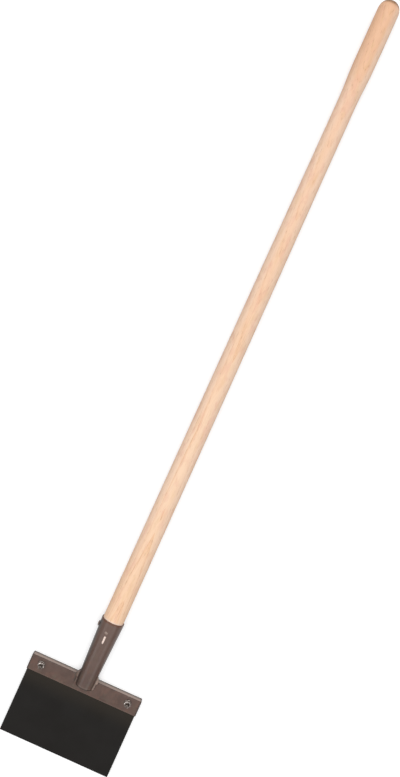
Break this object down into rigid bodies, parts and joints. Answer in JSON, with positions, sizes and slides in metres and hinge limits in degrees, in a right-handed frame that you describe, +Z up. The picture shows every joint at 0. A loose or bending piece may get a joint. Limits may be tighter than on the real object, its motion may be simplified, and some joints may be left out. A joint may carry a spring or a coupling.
{
  "type": "grate spade",
  "caption": "Grate spade: a long turned ash handle in a tapered steel socket welded to an angle that carries a wide flat bolted blade.",
  "frame": {"origin": "on the floor under the middle of the spade's length and width, with the spade lying on its back", "axes": "+Y along the handle from the blade to the grip, +X to the right of someone who looks at the front, +Z up out of the front of the blade"},
  "size_m": [0.202, 1.3948, 0.0399],
  "materials": {
    "ash_wood": "turned ash, sanded, thin clear oil",
    "brown_enamel": "brown enamel over mill scale, satin",
    "black_spring_steel": "blackened spring steel, matt",
    "zinc_plated_steel": "bright zinc plate, slightly dulled"
  },
  "bodies": {
    "root": {"handle": "ash_wood", "socket": "brown_enamel", "socket_weld": "brown_enamel", "handle_screw": "brown_enamel", "blade_holder": "brown_enamel", "blade": "black_spring_steel", "bolt_left": "zinc_plated_steel", "bolt_right": "zinc_plated_steel", "washer_left": "zinc_plated_steel", "washer_right": "zinc_plated_steel", "nut_left": "zinc_plated_steel", "nut_right": "zinc_plated_steel"}
  },
  "joints": []
}
